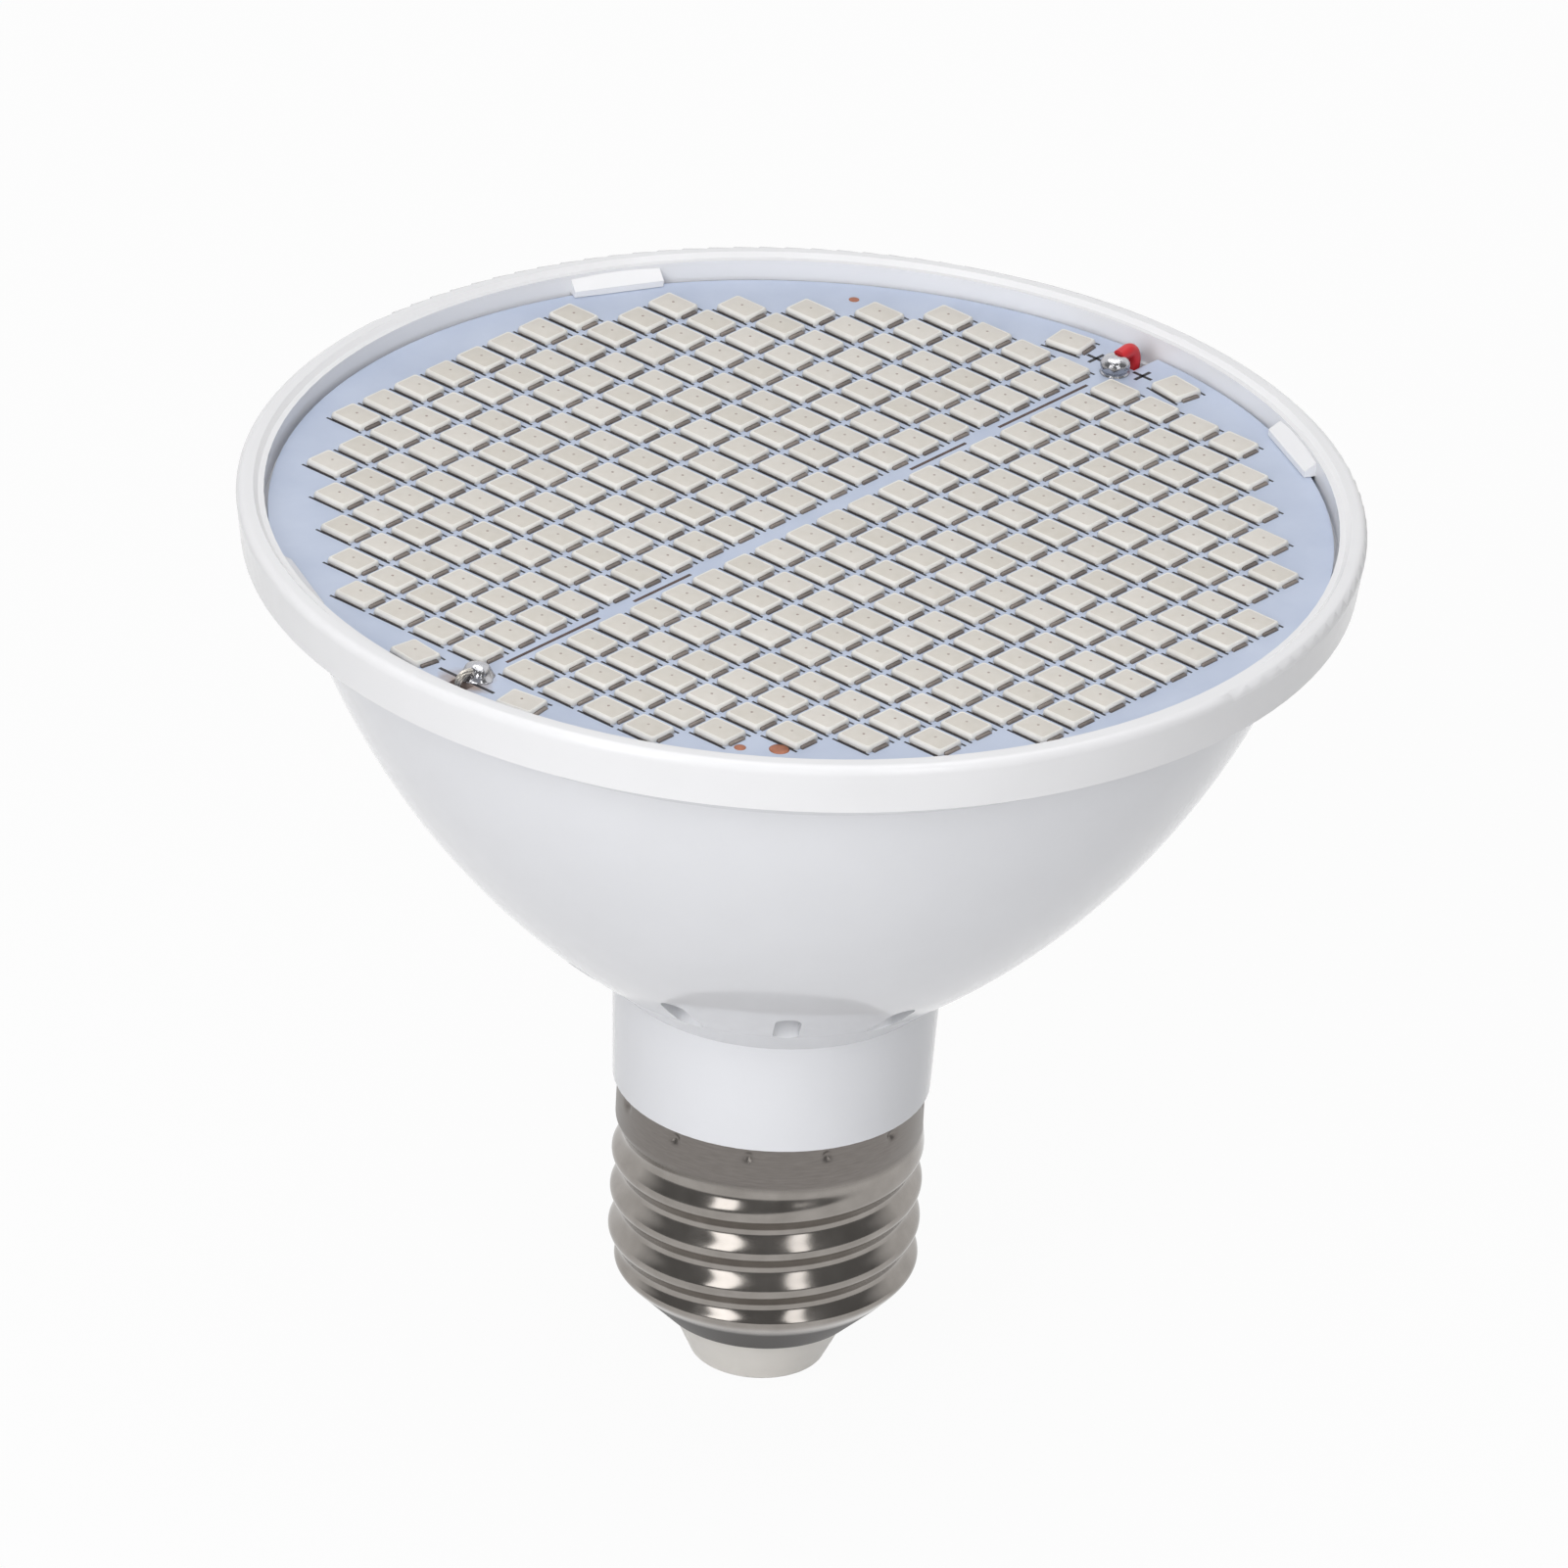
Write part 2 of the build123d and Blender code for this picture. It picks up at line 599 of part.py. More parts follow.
with BuildPart() as bleeder_resistor:
    axial_resistor(RESISTOR_RADIUS, RESISTOR_LENGTH, RESISTOR_LEG_SPAN, z_bleeder_resistor, -1)
save(bleeder_resistor, "bleeder_resistor")

# Mains wires: one to the contact's pin, one folded up between plug and shell
mains_y = -(driver_face + MAINS_WIRE_RADIUS + SEAT)
z_mains_pad = z_driver + PAD_OVERLAP
with BuildPart() as live_wire:
    wire_along(
        MAINS_WIRE_RADIUS,
        (
            (LIVE_PAD_X, mains_y, z_mains_pad),
            (LIVE_PAD_X, mains_y, z_pin_top + LIVE_TURN_RISE),
            (0, 0, z_pin_top + LIVE_PIN_RISE),
            (0, 0, z_pin_top),
        ),
    )
save(live_wire, "live_wire")

channel_y = -(thread_bore - MAINS_WIRE_RADIUS - SEAT)
with BuildPart() as neutral_wire:
    wire_along(
        MAINS_WIRE_RADIUS,
        (
            (NEUTRAL_PAD_X, mains_y, z_mains_pad),
            (NEUTRAL_PAD_X, mains_y, z_plug_end - NEUTRAL_TURN_DROP),
            (*NEUTRAL_CROSS, z_plug_end - NEUTRAL_CROSS_DROP),
            (NEUTRAL_NEAR[0], channel_y + NEUTRAL_NEAR[1], z_plug_end - NEUTRAL_CROSS_DROP),
            (0, channel_y, z_plug_end - NEUTRAL_ENTRY_DROP),
            (0, channel_y, z_plug_end + CHANNEL_LENGTH - FIT),
        ),
    )
save(neutral_wire, "neutral_wire")
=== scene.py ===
"""Looks of the plant lamp: materials, fine forms of board and cap, studio light and camera."""

import math

import bpy
from mathutils import Matrix, Vector, noise


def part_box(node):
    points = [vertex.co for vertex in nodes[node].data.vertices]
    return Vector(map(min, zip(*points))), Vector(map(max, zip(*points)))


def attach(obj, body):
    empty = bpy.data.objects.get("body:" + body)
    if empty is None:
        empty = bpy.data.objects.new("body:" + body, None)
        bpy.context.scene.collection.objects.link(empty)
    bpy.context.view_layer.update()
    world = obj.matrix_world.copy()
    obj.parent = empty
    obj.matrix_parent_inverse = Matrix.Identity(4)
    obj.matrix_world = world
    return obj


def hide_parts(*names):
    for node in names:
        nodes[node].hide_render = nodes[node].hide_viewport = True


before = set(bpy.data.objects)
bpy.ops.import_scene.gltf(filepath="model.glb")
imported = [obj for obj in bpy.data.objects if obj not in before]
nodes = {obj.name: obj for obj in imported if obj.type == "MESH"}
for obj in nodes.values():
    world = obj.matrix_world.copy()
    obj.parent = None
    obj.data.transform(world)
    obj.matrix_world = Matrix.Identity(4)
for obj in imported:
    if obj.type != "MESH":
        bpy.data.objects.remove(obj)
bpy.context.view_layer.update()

# Units in metres
MM = 0.001
MICRON = 0.000001

# Camera, fitted to the photo
CAMERA_AZIMUTH = 49.74
CAMERA_ELEVATION = 28.27
CAMERA_ROLL = 3.07
CAMERA_DISTANCE = 1600.0
CAMERA_FOCAL_PIXELS = 19578.0
CAMERA_FAR = 20000.0
IMAGE_PIXELS = 1601.0
SENSOR_WIDTH = 36.0
TARGET_RIGHT = -0.264
TARGET_BELOW_RIM = 26.8

# Emitters, placed as the solids on the light board
EMITTER_PITCH = 3.85
ROW_PITCH = 4.37
MIDDLE_GAP = 5.6
ROW_COUNTS = (20, 20, 20, 20, 18, 16, 14, 12, 8)
EMITTER_WIDTH = 2.8
EMITTER_LENGTH = 3.5
END_EMITTER_INSET = 2.95
END_EMITTER_ANGLE = 8.2
EMITTER_CORNER = 0.14
CASE_HEIGHT = 0.54
CASE_WALL = ((0.0, 0.0), (0.05, 0.62), (0.09, 0.86), (0.16, 1.0))  # inset, share of the height
CASE_LIP = 0.06
WINDOW_INSET = 0.27
WINDOW_SINK = 0.03
WINDOW_CROWN = 0.14
WINDOW_DOME = ((0.0, 0.0), (0.25, 0.45), (0.6, 0.82), (0.95, 1.0))  # inset, share of the crown
DIE_RADIUS = 0.12
DIE_RISE = 0.012
DIE_SIDES = 10
TERMINAL_WIDTH = 1.8
TERMINAL_REACH = 0.27
TERMINAL_HEIGHT = 0.23
TERMINAL_SECTION = ((-0.1, 0.0), (1.0, 0.0), (0.9, 0.3), (0.45, 0.8), (-0.1, 1.0))  # shares of reach, height
TERMINAL_STATIONS = ((-1.0, 0.75), (-0.86, 1.0), (0.86, 1.0), (1.0, 0.75))  # shares of half width, height
# Dark foot band under each emitter: partly lead frame, partly painted shade under the body
FOOT_HEIGHT = 0.07
FOOT_REACH = 0.03

# Marks printed on the light board
INK_HEIGHT = 0.02
TICK_OFFSET = 1.55
TICK_WIDTH = 0.2
TICK_LENGTH = 3.9
GAP_LINE_WIDTH = 0.3
GAP_LINES = ((13.7, 20.7), (24.9, 36.2))  # start and end on each side of the middle
COPPER_DOTS = ((33.7, 24.0, 0.45), (-33.2, -22.9, 0.5), (-31.1, -25.3, 0.85))  # x, y, radius
DOT_RISE = 0.03
DOT_SIDES = 24
PLUS_MARKS = ((40.9, -2.1), (40.5, 2.7))
PLUS_SIZE = 2.0
PLUS_WIDTH = 0.32
MINUS_MARK = (-40.9, -2.9, 3.1)  # x, and y from end to end

# Screw shell, after its solid, with a thread that fades out and dimpled crimps
THREAD_PITCH = 3.629
THREAD_CREST = 13.15
THREAD_DEPTH = 0.9
GROOVE_START = 5.5
THREAD_FOOT = 9.0
BAND_FOOT = 22.9
BAND_RADIUS = 12.98
FADE_START = 21.2
FADE_END = 23.2
SHELL_SHEET = 0.4
CONE_SHEET = 0.56
CONE_BLEND = 0.9
MOUTH_RADIUS = 8.5
EDGE_DROP = 0.06
EDGE_INSET = 0.1
BORE_STEP = 0.85
BORE_FOOT = 0.2
CRIMP_COUNT = 12
CRIMP_FIRST_ANGLE = 3.2
CRIMP_DEPTH = 0.36
CRIMP_SPREAD = 0.46
CRIMP_DROP = 0.95
SHELL_TURNS = 360
CONE_LEVELS = 16
THREAD_LEVELS = 106
BAND_LEVELS = 32

# Levels and radii read from the frame
board_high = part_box("led_board")[1]
ring_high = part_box("front_ring")[1]
shell_low, shell_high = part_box("screw_shell")
plus_low, plus_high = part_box("positive_solder")
minus_low, minus_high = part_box("negative_solder")
z_board = board_high[2] / MM
z_rim = ring_high[2] / MM
z_mouth = shell_low[2] / MM
z_shell_top = shell_high[2] / MM
board_radius = board_high[1] / MM


def linear(value):
    """One display channel from 0 to 255 as a linear value."""
    share = value / 255
    return share / 12.92 if share <= 0.04045 else ((share + 0.055) / 1.055) ** 2.4


def rgb(red, green, blue):
    """A display colour as a linear colour socket value."""
    return (linear(red), linear(green), linear(blue), 1.0)


def scaled(colour, factor):
    """A colour made lighter or darker."""
    return tuple(min(1.0, channel * factor) for channel in colour[:3]) + (1.0,)


# Materials


def math_node(tree, operation, first, second):
    """One arithmetic node on sockets or numbers."""
    made = tree.nodes.new("ShaderNodeMath")
    made.operation = operation
    for source, target in zip((first, second), made.inputs):
        if isinstance(source, (int, float)):
            target.default_value = source
        else:
            tree.links.new(source, target)
    return made.outputs["Value"]


class Shade:
    """A material with a Principled surface and short calls for its nodes."""

    def __init__(self, name):
        self.material = bpy.data.materials.new(name)
        self.material.use_nodes = True
        self.tree = self.material.node_tree
        self.surface = self.tree.nodes["Principled BSDF"]
        coordinates = self.tree.nodes.new("ShaderNodeTexCoord")
        self.place = coordinates.outputs["Object"]

    def node(self, kind, **settings):
        made = self.tree.nodes.new(kind)
        for key, value in settings.items():
            setattr(made, key, value)
        return made

    def link(self, source, target):
        self.tree.links.new(source, target)

    def noise(self, scale, detail=3.0, stretch=(1.0, 1.0, 1.0), place=None):
        """A noise value over the object, in cycles per metre along each axis."""
        mapping = self.node("ShaderNodeMapping")
        mapping.inputs["Scale"].default_value = tuple(scale * part for part in stretch)
        self.link(place or self.place, mapping.inputs["Vector"])
        texture = self.node("ShaderNodeTexNoise")
        texture.inputs["Scale"].default_value = 1.0
        texture.inputs["Detail"].default_value = detail
        self.link(mapping.outputs["Vector"], texture.inputs["Vector"])
        return texture.outputs["Fac"]

    def span(self, value, low, high, start=0.3, end=0.7):
        """A value spread from one range to another."""
        spread = self.node("ShaderNodeMapRange")
        spread.inputs["From Min"].default_value = start
        spread.inputs["From Max"].default_value = end
        spread.inputs["To Min"].default_value = low
        spread.inputs["To Max"].default_value = high
        self.link(value, spread.inputs["Value"])
        return spread.outputs["Result"]

    def mix(self, share, first, second):
        """Two colours, each a socket or a value, mixed by a share."""
        blend = self.node("ShaderNodeMix", data_type="RGBA")
        self.link(share, blend.inputs["Factor"])
        for source, target in ((first, blend.inputs["A"]), (second, blend.inputs["B"])):
            if isinstance(source, tuple):
                target.default_value = source
            else:
                self.link(source, target)
        return blend.outputs["Result"]

    def math(self, operation, first, second):
        return math_node(self.tree, operation, first, second)

    def bump(self, height, relief, strength=1.0):
        """Fine relief of a depth in microns."""
        made = self.node("ShaderNodeBump")
        made.inputs["Strength"].default_value = strength
        made.inputs["Distance"].default_value = relief * MICRON
        self.link(height, made.inputs["Height"])
        self.link(made.outputs["Normal"], self.surface.inputs["Normal"])

    def set(self, **values):
        """Constants on the surface's own sockets."""
        for key, value in values.items():
            self.surface.inputs[key.replace("_", " ")].default_value = value

    def colour(self, socket):
        self.link(socket, self.surface.inputs["Base Color"])

    def roughness(self, socket):
        self.link(socket, self.surface.inputs["Roughness"])


def grained(name, colour, rough, grain, shift, rough_shift=0.06, relief=10.0, **values):
    """A plain material with a mottled colour, uneven gloss and a fine relief."""
    shade = Shade(name)
    cloud = shade.noise(grain)
    darker, lighter = scaled(colour, 1 - shift), scaled(colour, 1 + shift)
    shade.colour(shade.mix(shade.span(cloud, 0.0, 1.0), darker, lighter))
    fine = shade.noise(grain * 6)
    shade.roughness(shade.span(fine, rough - rough_shift, rough + rough_shift))
    shade.bump(fine, relief)
    shade.set(**values)
    return shade.material


white_moulding = grained(
    "white_moulding",
    rgb(231, 232, 236),
    rough=0.1,
    grain=90.0,
    shift=0.012,
    rough_shift=0.02,
    relief=0.4,
    Specular_IOR_Level=0.22,
)
ring_moulding = grained(
    "ring_moulding",
    rgb(236, 236, 238),
    rough=0.2,
    grain=110.0,
    shift=0.01,
    rough_shift=0.03,
    relief=1.0,
)
cap_glaze = grained("cap_glaze", rgb(233, 229, 223), rough=0.4, grain=260.0, shift=0.03)
contact_metal = grained("contact_metal", rgb(196, 190, 180), rough=0.3, grain=500.0, shift=0.1, Metallic=1.0)
solder_metal = grained(
    "solder_metal",
    rgb(188, 188, 192),
    rough=0.07,
    grain=700.0,
    shift=0.08,
    rough_shift=0.05,
    relief=40.0,
    Metallic=1.0,
)
tinned_wire = grained("tinned_wire", rgb(205, 200, 192), rough=0.25, grain=900.0, shift=0.1, Metallic=1.0)
red_insulation = grained("red_insulation", rgb(206, 40, 48), rough=0.42, grain=400.0, shift=0.08)
black_insulation = grained("black_insulation", rgb(28, 28, 30), rough=0.45, grain=400.0, shift=0.1)
driver_laminate = grained("driver_laminate", rgb(186, 160, 104), rough=0.5, grain=800.0, shift=0.08)
capacitor_case = grained("capacitor_case", rgb(206, 150, 40), rough=0.4, grain=300.0, shift=0.06)
can_sleeve = grained("can_sleeve", rgb(38, 44, 66), rough=0.32, grain=300.0, shift=0.08)
black_package = grained("black_package", rgb(26, 26, 28), rough=0.55, grain=900.0, shift=0.12)
resistor_body = grained("resistor_body", rgb(92, 132, 168), rough=0.38, grain=500.0, shift=0.08)
board_ink = grained("board_ink", rgb(24, 23, 30), rough=0.5, grain=1500.0, shift=0.15)
bare_copper = grained("bare_copper", rgb(168, 108, 82), rough=0.4, grain=1400.0, shift=0.2, Metallic=0.6)
dark_gap_tone = grained("dark_gap_tone", rgb(74, 54, 50), rough=0.45, grain=1400.0, shift=0.3, Metallic=0.3)

STAIN_SHARE = 0.75
STAIN_FULL = 2.2
STAIN_END = 3.6
STAIN_RAGGED = 2.2


def board_mask_material():
    """Pale blue-white solder mask, with brown flux round the negative joint."""
    shade = Shade("board_mask")
    cloud = shade.noise(140.0)
    fine = shade.noise(1600.0)
    mask = shade.mix(shade.span(cloud, 0.0, 1.0), rgb(184, 195, 217), rgb(196, 206, 226))
    offset = shade.node("ShaderNodeVectorMath", operation="DISTANCE")
    offset.inputs[1].default_value = (minus_low[0], 0.0, board_high[2])
    shade.link(shade.place, offset.inputs[0])
    ragged = shade.math("MULTIPLY", shade.noise(900.0), STAIN_RAGGED * MM)
    reach = shade.math("ADD", offset.outputs["Value"], ragged)
    stain = shade.span(reach, STAIN_SHARE, 0.0, STAIN_FULL * MM, STAIN_END * MM)
    shade.colour(shade.mix(stain, mask, rgb(150, 120, 92)))
    shade.roughness(shade.span(fine, 0.3, 0.42))
    shade.bump(fine, relief=6.0)
    return shade.material


STREAKS = (700.0, 5200.0, 1.0)  # cycles per metre around, up and through the sheet
BAND_FADE = (-0.4, 0.3)  # from the band's foot
CONE_FADE = (-0.9, 0.2)  # from the thread's foot
CONE_ROUGHNESS = 0.45


def shell_material():
    """Nickel-plated sheet: a drawn, satin band, a polished thread and a dull cone; the band's colour holds a
    little painted shade and the cone's much more.
    """
    shade = Shade("nickel_sheet")
    split = shade.node("ShaderNodeSeparateXYZ")
    shade.link(shade.place, split.inputs["Vector"])
    around = shade.math("ARCTAN2", split.outputs["Y"], split.outputs["X"])
    flat = shade.node("ShaderNodeCombineXYZ")
    shade.link(shade.math("MULTIPLY", around, THREAD_CREST * MM), flat.inputs["X"])
    shade.link(split.outputs["Z"], flat.inputs["Y"])
    streak = shade.noise(1.0, detail=4.0, stretch=STREAKS, place=flat.outputs["Vector"])
    cloud = shade.noise(420.0)
    band_low, band_high = ((BAND_FOOT + shift) * MM for shift in BAND_FADE)
    band = shade.span(split.outputs["Z"], 0.0, 1.0, band_low, band_high)
    tone = shade.mix(shade.span(cloud, 0.0, 1.0), rgb(144, 139, 134), rgb(158, 153, 148))
    # The band's darker satin tone is painted shade; its streaks are real brushing.
    shaded_satin = shade.mix(shade.span(streak, 0.0, 1.0), rgb(122, 117, 113), rgb(134, 129, 125))
    # The fade to a near-black grey below the thread's foot is painted shade on the dull cone.
    cone_low, cone_high = ((THREAD_FOOT + shift) * MM for shift in CONE_FADE)
    cone = shade.span(split.outputs["Z"], 1.0, 0.0, cone_low, cone_high)
    shade.colour(shade.mix(cone, shade.mix(band, tone, shaded_satin), rgb(62, 59, 57)))
    polished = shade.span(cloud, 0.12, 0.2)
    brushed = shade.span(streak, 0.32, 0.42)
    both = shade.node("ShaderNodeMix", data_type="FLOAT")
    shade.link(band, both.inputs["Factor"])
    shade.link(polished, both.inputs["A"])
    shade.link(brushed, both.inputs["B"])
    dull = shade.math("MULTIPLY", cone, CONE_ROUGHNESS)
    shade.roughness(shade.math("MAXIMUM", both.outputs["Result"], dull))
    shade.bump(streak, relief=2.0, strength=0.4)
    shade.set(Metallic=1.0)
    return shade.material


ISLAND_SHARE = 0.65
ISLAND_GLOSS = 0.06


def island_material(name, dark, light, rough, grain, relief, **values):
    """A material whose tone differs a little from one small part to the next."""
    shade = Shade(name)
    geometry = shade.node("ShaderNodeNewGeometry")
    own = geometry.outputs["Random Per Island"]
    cloud = shade.noise(grain)
    share = shade.math(
        "ADD", shade.math("MULTIPLY", own, ISLAND_SHARE), shade.span(cloud, 0.0, 1 - ISLAND_SHARE)
    )
    shade.colour(shade.mix(share, dark, light))
    shade.roughness(shade.span(cloud, rough - ISLAND_GLOSS, rough + ISLAND_GLOSS))
    shade.bump(cloud, relief)
    shade.set(**values)
    return shade.material


board_mask = board_mask_material()
nickel_sheet = shell_material()
emitter_body = island_material(
    "emitter_body", rgb(226, 223, 217), rgb(236, 234, 229), rough=0.42, grain=1500.0, relief=4.0
)
emitter_window = island_material(
    "emitter_window", rgb(206, 200, 190), rgb(220, 215, 208), rough=0.34, grain=1200.0, relief=1.0
)
emitter_die = island_material(
    "emitter_die", rgb(150, 128, 120), rgb(186, 176, 168), rough=0.4, grain=3000.0, relief=4.0
)
terminal_metal = island_material(
    "terminal_metal",
    rgb(100, 93, 90),
    rgb(146, 137, 131),
    rough=0.36,
    grain=2500.0,
    relief=10.0,
    Metallic=0.6,
)

CAD_FINISHES = {
    "front_ring": ring_moulding,
    "housing": white_moulding,
    "led_board": board_mask,
    "cap_insulator": cap_glaze,
    "centre_contact": contact_metal,
    "positive_lead": red_insulation,
    "negative_lead": black_insulation,
    "driver_board": driver_laminate,
    "film_capacitor": capacitor_case,
    "smoothing_capacitor": can_sleeve,
    "bridge_rectifier": black_package,
    "fusible_resistor": resistor_body,
    "discharge_resistor": resistor_body,
    "bleeder_resistor": resistor_body,
    "live_wire": red_insulation,
    "neutral_wire": black_insulation,
}
for name, finish in CAD_FINISHES.items():
    solid = nodes[name].data
    solid.materials.clear()
    solid.materials.append(finish)


# Meshes


class Batch:
    """Points and faces of many small forms, in millimetres, that make one piece."""

    def __init__(self):
        self.points = []
        self.faces = []

    def add(self, points, faces, place=None):
        first = len(self.points)
        for point in points:
            spot = Vector(point)
            self.points.append((place @ spot if place else spot) * MM)
        self.faces += [tuple(first + corner for corner in face) for face in faces]

    def piece(self, name, material, slot, stands_for=(), smooth=True):
        """Makes the object and fixes it to the lamp."""
        mesh = bpy.data.meshes.new(name)
        mesh.from_pydata(self.points, [], self.faces)
        mesh.materials.append(material)
        mesh.polygons.foreach_set("use_smooth", [smooth] * len(mesh.polygons))
        made = bpy.data.objects.new(name, mesh)
        bpy.context.collection.objects.link(made)
        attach(made, "root")
        if stands_for:
            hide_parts(*stands_for)
        return made


def rim_points(half_x, half_y, corner, z):
    """A rectangle with cut corners, anticlockwise."""
    points = []
    for sx, sy in ((1, -1), (1, 1), (-1, 1), (-1, -1)):
        along_x = (sx * (half_x - corner), sy * half_y, z)
        along_y = (sx * half_x, sy * (half_y - corner), z)
        points += [along_x, along_y] if sx * sy < 0 else [along_y, along_x]
    return points


def loft(rings, closed_top=True, closed_foot=False):
    """Points and faces of a skin through rings with equal counts."""
    count = len(rings[0])
    points = [point for ring in rings for point in ring]
    faces = []
    for level in range(len(rings) - 1):
        low = level * count
        for corner in range(count):
            after = (corner + 1) % count
            faces.append((low + corner, low + after, low + count + after, low + count + corner))
    if closed_top:
        top = (len(rings) - 1) * count
        faces.append(tuple(range(top, top + count)))
    if closed_foot:
        faces.append(tuple(reversed(range(count))))
    return points, faces


def emitter_places():
    """Where each emitter sits on the board, with its turn."""
    places = []
    for row, count in enumerate(ROW_COUNTS):
        y = MIDDLE_GAP / 2 + row * ROW_PITCH
        for place in range(count):
            x = (place - (count - 1) / 2) * EMITTER_PITCH
            places += [(x, y, 0.0), (x, -y, 0.0)]
    for side in (0.0, 180.0):
        for tilt in (END_EMITTER_ANGLE, -END_EMITTER_ANGLE):
            turn = math.radians(side + tilt)
            x = (board_radius - END_EMITTER_INSET) * math.cos(turn)
            y = (board_radius - END_EMITTER_INSET) * math.sin(turn)
            places.append((x, y, math.radians(tilt)))
    return places


def emitter_frame():
    """The white case of one emitter, from its foot up and down into its window."""
    half_x, half_y = EMITTER_WIDTH / 2, EMITTER_LENGTH / 2
    steps = [(inset, share * CASE_HEIGHT) for inset, share in CASE_WALL]
    steps += [(WINDOW_INSET - CASE_LIP, CASE_HEIGHT), (WINDOW_INSET, CASE_HEIGHT - WINDOW_SINK)]
    rings = [rim_points(half_x - inset, half_y - inset, EMITTER_CORNER, z) for inset, z in steps]
    return loft(rings, closed_top=False, closed_foot=True)


def emitter_window_form():
    """The resin that fills one window, slightly crowned."""
    half_x, half_y = EMITTER_WIDTH / 2 - WINDOW_INSET, EMITTER_LENGTH / 2 - WINDOW_INSET
    rings = []
    for inset, rise in WINDOW_DOME:
        z = CASE_HEIGHT - WINDOW_SINK + rise * WINDOW_CROWN
        rings.append(rim_points(half_x - inset, half_y - inset, EMITTER_CORNER, z))
    return loft(rings)


def foot_frame_and_shade_form():
    """A dark band at one emitter's foot: partly its lead frame, partly painted shade of the gap under the
    body, showing as a line under the long sides.
    """
    half_x, half_y = EMITTER_WIDTH / 2 + FOOT_REACH, EMITTER_LENGTH / 2 - EMITTER_CORNER
    rings = [rim_points(half_x, half_y, EMITTER_CORNER, z) for z in (0.0, FOOT_HEIGHT)]
    return loft(rings, closed_foot=True)


def terminal_form(side):
    """A sloped solder fillet at one short end of an emitter."""
    foot = side * EMITTER_LENGTH / 2
    reach = side * TERMINAL_REACH
    section = [(foot + out * reach, up * TERMINAL_HEIGHT) for out, up in TERMINAL_SECTION]
    rings = []
    for share, lower in TERMINAL_STATIONS:
        ring = [(share * TERMINAL_WIDTH / 2, y, z * lower) for y, z in section]
        rings.append(ring if side < 0 else list(reversed(ring)))
    return loft(rings, closed_foot=True)


def strip(x0, y0, x1, y1, width, height):
    """A thin flat bar between two points on the board."""
    along = Vector((x1 - x0, y1 - y0, 0.0))
    across = Vector((-along.y, along.x, 0.0)).normalized() * width / 2
    start, end = Vector((x0, y0, 0.0)), Vector((x1, y1, 0.0))
    corners = (start - across, end - across, end + across, start + across)
    rings = [[tuple(corner + Vector((0, 0, z))) for corner in corners] for z in (-INK_HEIGHT, height)]
    return loft(rings, closed_foot=True)


def disc(x, y, radius, rise, count):
    """A low round spot with a soft edge."""
    turns = [2 * math.pi * step / count for step in range(count)]
    rings = []
    for share, z in ((1.0, -INK_HEIGHT), (1.0, rise * 0.5), (0.8, rise)):
        reach = share * radius
        rings.append([(x + reach * math.cos(turn), y + reach * math.sin(turn), z) for turn in turns])
    return loft(rings, closed_foot=True)


frames, windows, dies, terminals, ink = Batch(), Batch(), Batch(), Batch(), Batch()
on_board = Matrix.Translation((0, 0, z_board))
die_level = Matrix.Translation((0, 0, CASE_HEIGHT - WINDOW_SINK + WINDOW_CROWN))
for x, y, turn in emitter_places():
    here = on_board @ Matrix.Translation((x, y, 0)) @ Matrix.Rotation(turn, 4, "Z")
    frames.add(*emitter_frame(), here)
    windows.add(*emitter_window_form(), here)
    dies.add(*disc(0.0, 0.0, DIE_RADIUS, DIE_RISE, DIE_SIDES), here @ die_level)
    # The dark foot band is partly lead frame, partly painted shade under the emitter's body.
    terminals.add(*foot_frame_and_shade_form(), here)
    for side in (1, -1):
        terminals.add(*terminal_form(side), here)
        tick = side * TICK_OFFSET
        ink.add(*strip(tick, -TICK_LENGTH / 2, tick, TICK_LENGTH / 2, TICK_WIDTH, INK_HEIGHT), here)
frames.piece("led_frames", emitter_body, "emitter_body", ("leds",))
windows.piece("led_windows", emitter_window, "emitter_body")
dies.piece("led_dies", emitter_die, "emitter_body")
terminals.piece("led_terminals", terminal_metal, "solder")

for x, y in PLUS_MARKS:
    ink.add(*strip(x - PLUS_SIZE / 2, y, x + PLUS_SIZE / 2, y, PLUS_WIDTH, INK_HEIGHT), on_board)
    ink.add(*strip(x, y - PLUS_SIZE / 2, x, y + PLUS_SIZE / 2, PLUS_WIDTH, INK_HEIGHT), on_board)
minus_x, minus_start, minus_end = MINUS_MARK
ink.add(*strip(minus_x, minus_start, minus_x, minus_end, PLUS_WIDTH, INK_HEIGHT), on_board)
ink.piece("board_print", board_ink, "black_package", smooth=False)

# The middle gap lines are drawn in a dark grey-brown.
gap_lines, dots = Batch(), Batch()
for start, end in GAP_LINES:
    for side in (1, -1):
        gap_lines.add(*strip(side * start, 0, side * end, 0, GAP_LINE_WIDTH, INK_HEIGHT), on_board)
gap_lines.piece("board_gap_lines", dark_gap_tone, "contact_metal", smooth=False)
for x, y, radius in COPPER_DOTS:
    dots.add(*disc(x, y, radius, DOT_RISE, DOT_SIDES), on_board)
dots.piece("board_copper_dots", bare_copper, "contact_metal")


# Screw shell


def soft_min(first, second, blend):
    """The lower of two values, rounded where they cross."""
    share = max(0.0, min(1.0, 0.5 + 0.5 * (second - first) / blend))
    return second + (first - second) * share - blend * share * (1 - share)


def ease(value, low, high):
    """A smooth step from 0 at low to 1 at high."""
    share = max(0.0, min(1.0, (value - low) / (high - low)))
    return share * share * (3 - 2 * share)


